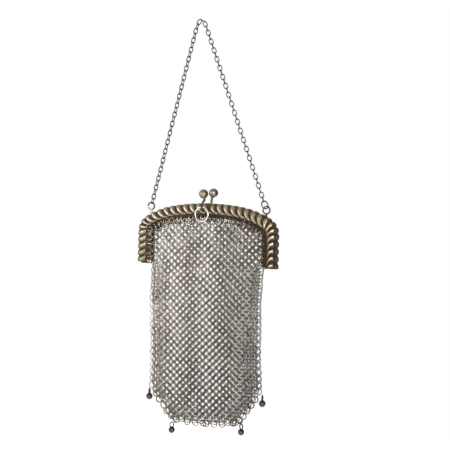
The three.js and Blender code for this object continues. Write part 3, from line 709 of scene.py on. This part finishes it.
def ring_place(z, side, across, lean):
    """A mesh ring on the bag's face, leaning out of it, with the small differences of a hand-set ring."""
    step = 0.4
    point = on_bag(z, side, across)
    tangent = on_bag(z, side, across + step) - on_bag(z, side, across - step)
    upward = on_bag(z + step, side, across) - on_bag(z - step, side, across)
    outward = (tangent.cross(upward) * -side).normalized()
    tilt = lean * RING_TILT + math.radians(draws.gauss(0, RING_LEAN_SWAY))
    past = passed(abs(across), side_reach(z) - FOLD_REACH, FOLD_REACH) * (z < FLAT_ABOVE)
    outward = Matrix.Rotation(math.copysign(FOLD_TURN * past, across), 3, "Z") @ outward
    normal = outward * math.cos(tilt) - upward.normalized() * math.sin(tilt)
    normal = Matrix.Rotation(math.radians(draws.gauss(0, RING_TURN_SWAY)), 3, upward.normalized()) @ normal
    point += Vector([draws.gauss(0, RING_DRIFT) for _ in range(3)])
    return stand(point, upward, normal)


arch_inner = [arch_point(-HALF_LOBES + HALF_LOBES * 2 * i / 240, FLANGE_EDGE, 0) for i in range(241)]


def clear_of_arch(x, z):
    """How far a point within the arch is from the flange's inner edge; negative outside it."""
    nearest = min(arch_inner, key=lambda point: (point.x - x) ** 2 + (point.z - z) ** 2)
    distance = math.hypot(nearest.x - x, nearest.z - z)
    middle = Vector((nearest.x * 0.55, 0, min(nearest.z, -24)))
    inside = (Vector((x, 0, z)) - nearest).dot(middle - nearest) > 0
    return distance if inside else -distance


def pitch_at(z):
    """Distance between ring columns at a height: the columns go round the bag as round a tube."""
    return 4 * side_reach(min(max(z, CORNER), ROUND_BELOW - 2)) / RINGS_AROUND


def slack(x, z):
    """How far the columns of one face have slid over those of the other, in places."""
    low = passed(-z, -GROWS_BELOW, GROWS_OVER)
    band = LEFT_BAND if x < CLEAR_MIDDLE else RIGHT_BAND + BAND_GROWS * low
    near_fold = passed(abs(x), FADE_FROM, FADE_OVER)
    return SLACK * (1 - near_fold) * (1 - math.cos(math.tau * (x - CLEAR_MIDDLE) / band)) / 2


def face_rings(side):
    """The ring lattice of one face, from inside the arch to the cut corners and the bottom."""
    places = []
    rows = int((BAG_BOTTOM + 1.6 - MESH_TOP) / -ROW_PITCH) + 1
    for row in range(rows):
        z = MESH_TOP - row * ROW_PITCH
        if side > 0:
            z += (z - EYE_LEVEL) * BACK_SAG
        half_step = (row % 2) != (side > 0)
        for k in range(-9, 10):
            across = (k + 0.5 * half_step) * pitch_at(z)
            across -= side * (TUBE_TURN + slack(across, z) / 2)
            if z > FRAME_ROW:
                inside = (abs(across) < FRAME_REACH
                          and clear_of_arch(across, max(z, LEG_END)) > -FLANGE_OVERLAP)
            elif z > ROUND_BELOW:
                inside = abs(across) <= side_reach(ROUND_BELOW)
            elif z > CORNER:
                inside = abs(across) <= side_reach(z)
            else:
                inside = (abs(across) < side_reach(z) - CORNER_MARGIN
                          and z > BAG_BOTTOM + BOTTOM_MARGIN)
            if inside:
                places.append(ring_place(z, side, across, 1 if row % 2 else -1))
    return places


def edge_rings():
    """Rings that close the cut corners and the bottom, hanging open along the edge."""
    places = []
    outline = []
    for i in range(EDGE_POINTS + 1):
        z = CORNER - EDGE_START + (BAG_BOTTOM - CORNER + EDGE_START) * i / EDGE_POINTS
        outline.append(Vector((bag_level(z)[0] + SIDE_SKIN, 0, z)))
    outline += [Vector((x, 0, BAG_BOTTOM)) for x in (6, 5, 4, 3, 2, 1, 0)]
    for mirror in (-1, 1):
        run = 0.0
        for a, b in zip(outline, outline[1:]):
            run += (b - a).length
            if run < (EDGE_STEP if b.x > BOTTOM_WITHIN else BOTTOM_STEP):
                continue
            run = 0.0
            way = (b - a).normalized()
            centre = b + Vector((way.z, 0, -way.x)) * EDGE_INSET
            centre.x *= mirror
            fold = bag_level(b.z)[2] * math.sin(centre.x / (2 * BAG_HALF_WIDTH) * FOLDS * math.tau)
            centre = hung(centre + Vector((0, fold, 0)))
            centre += Vector([draws.gauss(0, EDGE_DRIFT) for _ in range(3)])
            normal = Vector((0, -1, 0)) + Vector([draws.gauss(0, EDGE_SWAY) for _ in range(3)])
            places.append(stand(centre, Vector((way.x * mirror, 0, way.z)), normal))
    return places


def flange_rings(side):
    """Rings that pass through the flange and carry the mesh."""
    places = []
    length, last = 0.0, None
    for i in range(FLANGE_TRIES + 1):
        lobes = -HALF_LOBES + 0.15 + (2 * HALF_LOBES - 0.3) * i / FLANGE_TRIES
        point = arch_point(lobes, FLANGE_EDGE + HOLD_INSET, side * (MOUTH_DEPTH - HOLD_DEPTH))
        length += (point - last).length if last else FLANGE_STEP
        last = point
        if length < FLANGE_STEP:
            continue
        length = 0.0
        inward = (arch_point(lobes, FLANGE_EDGE + 2, 0) - arch_point(lobes, FLANGE_EDGE, 0)).normalized()
        sway = Matrix.Rotation(math.radians(draws.gauss(0, HOLD_SWAY)), 3, "Y")
        tangent = sway @ inward.cross(Vector((0, 1, 0)))
        places.append(stand(point, inward, tangent))
    return places


def mesh_bag():
    ring = pattern(wire_ring, RING_DIAMETER, RING_GAUGE, 12, 4)
    holding = pattern(wire_ring, RING_DIAMETER, FLANGE_GAUGE, 16, 6)
    for side, name in ((-1, "mesh_rings_front"), (1, "mesh_rings_back")):
        shape = bmesh.new()
        set_out(shape, ring, face_rings(side))
        set_out(shape, holding, flange_rings(side))
        if side < 0:
            set_out(shape, holding, edge_rings())
        finish_piece(name, shape, MESH_WIRE, ["mesh_bag"])


# ---------------------------------------------------------------- drops

DROP_BALL, DROP_LINK, DROP_WIRE = 3.8, (2.8, 3.7), 0.7
COLLAR, COLLAR_WIRE, COLLAR_SINK = 1.5, 0.5, 0.1
# Place as a share of half the bag's width, hang as a share of its length, and the link's turn in degrees
DROPS = ((-0.983, 0.781, 80), (-0.577, 0.9805, -25), (0.635, 0.964, 20), (0.989, 0.78, 80))


def drops():
    link = pattern(wire_ring, DROP_LINK[0], DROP_WIRE, 20, 8, DROP_LINK[1])
    collar = pattern(wire_ring, COLLAR, COLLAR_WIRE, 16, 6)
    for number, (place, hang, degrees) in enumerate(DROPS, 1):
        eye = hung(Vector((place * BAG_HALF_WIDTH, 0, -FRAME_HEIGHT - hang * BAG_LENGTH)))
        x, top = eye.x, eye.z - CLEARANCE
        turn = math.radians(degrees)
        shape = bmesh.new()
        set_out(shape, link, [stand(Vector((x, 0, top - DROP_LINK[1] / 2)), (0, 0, 1),
                                    (math.sin(turn), math.cos(turn), 0))])
        darken(shape, 0, LINK_DARKENING)
        centre = Vector((x, 0, top - DROP_LINK[1] + DROP_WIRE - DROP_BALL / 2))
        ball(shape, DROP_BALL, centre)
        set_out(shape, collar, [Matrix.Translation(centre + Vector((0, 0, DROP_BALL / 2 - COLLAR_SINK)))])
        finish_piece(f"ball_drop_{number}", shape, DARK_DROP, [f"drop_{number}"])


frame_front()
frame_back()
clasp()
handle()
mesh_bag()
drops()

for name in ("hinge_pin_left", "hinge_pin_right"):
    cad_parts[name].data.materials.clear()
    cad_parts[name].data.materials.append(STAMPED)

# ---------------------------------------------------------------- studio

FLOOR_HEIGHT, FLOOR_SIZE = -0.30, 0.3
# Lights: name, bearing and height in degrees, distance, size, power, colour
LIGHTS = (
    ("key soft box", 33, 5, 0.95, (0.24, 0.24), 6.2, "#fffcf7"),
    ("window", -46, 10, 1.1, (0.9, 0.7), 5, "#fbfcff"),
)


def area_light(name, place, aim, size, power, colour):
    """A soft box that faces a point."""
    light = bpy.data.lights.new(name, "AREA")
    light.shape, light.size, light.size_y = "RECTANGLE", size[0], size[1]
    light.energy = power
    light.color = linear(colour)[:3]
    lamp = bpy.data.objects.new(name, light)
    lamp.location = place
    lamp.rotation_euler = (Vector(place) - Vector(aim)).to_track_quat("Z", "Y").to_euler()
    bpy.context.scene.collection.objects.link(lamp)


def studio():
    """A white card below, a dim room that is lighter up and to the left, a window and a soft box."""
    middle = Vector((0, 0, -0.14))

    def toward(bearing_degrees, height_degrees, distance):
        bearing, height = math.radians(bearing_degrees), math.radians(height_degrees)
        return middle + distance * Vector((math.sin(bearing) * math.cos(height),
                                           -math.cos(bearing) * math.cos(height), math.sin(height)))

    for name, bearing_degrees, height_degrees, distance, size, power, colour in LIGHTS:
        area_light(name, toward(bearing_degrees, height_degrees, distance), middle, size, power, colour)

    paper = bpy.data.materials.new("white paper")
    paper.use_nodes = True
    shader = paper.node_tree.nodes["Principled BSDF"]
    shader.inputs["Base Color"].default_value = linear("#f4f4f4")
    shader.inputs["Roughness"].default_value = 0.9
    shader.inputs["Emission Color"].default_value = linear("#ffffff")
    shader.inputs["Emission Strength"].default_value = 1.0
    shape = bmesh.new()
    bmesh.ops.create_grid(shape, x_segments=1, y_segments=1, size=FLOOR_SIZE,
                          matrix=Matrix.Translation((0, 0, FLOOR_HEIGHT)))
    mesh = bpy.data.meshes.new("floor")
    shape.to_mesh(mesh)
    shape.free()
    mesh.materials.append(paper)
    floor = bpy.data.objects.new("floor", mesh)
    bpy.context.scene.collection.objects.link(floor)

    world = bpy.data.worlds.new("studio")
    bpy.context.scene.world = world
    world.use_nodes = True
    tree = world.node_tree
    tree.nodes.clear()
    backing = add_node(tree, "ShaderNodeBackground", sockets={"Color": linear("#ffffff"), "Strength": 1.0})
    direction = add_node(tree, "ShaderNodeTexCoord").outputs["Generated"]
    facing = add_node(tree, "ShaderNodeVectorMath", links={0: direction}, sockets={1: (-0.58, -0.35, 0.73)},
                      operation="DOT_PRODUCT")
    level = add_node(tree, "ShaderNodeMapRange", links={"Value": facing.outputs["Value"]},
                     sockets={"From Min": -0.5, "From Max": 1.0, "To Min": 0.03, "To Max": 0.7})
    room = add_node(tree, "ShaderNodeBackground", sockets={"Color": linear("#f3f1ee")},
                    links={"Strength": level.outputs[0]})
    seen = add_node(tree, "ShaderNodeLightPath").outputs["Is Camera Ray"]
    mix = add_node(tree, "ShaderNodeMixShader",
                   links={0: seen, 1: room.outputs[0], 2: backing.outputs[0]})
    add_node(tree, "ShaderNodeOutputWorld", links={"Surface": mix.outputs[0]})
    bpy.context.scene.view_settings.view_transform = "Standard"


studio()
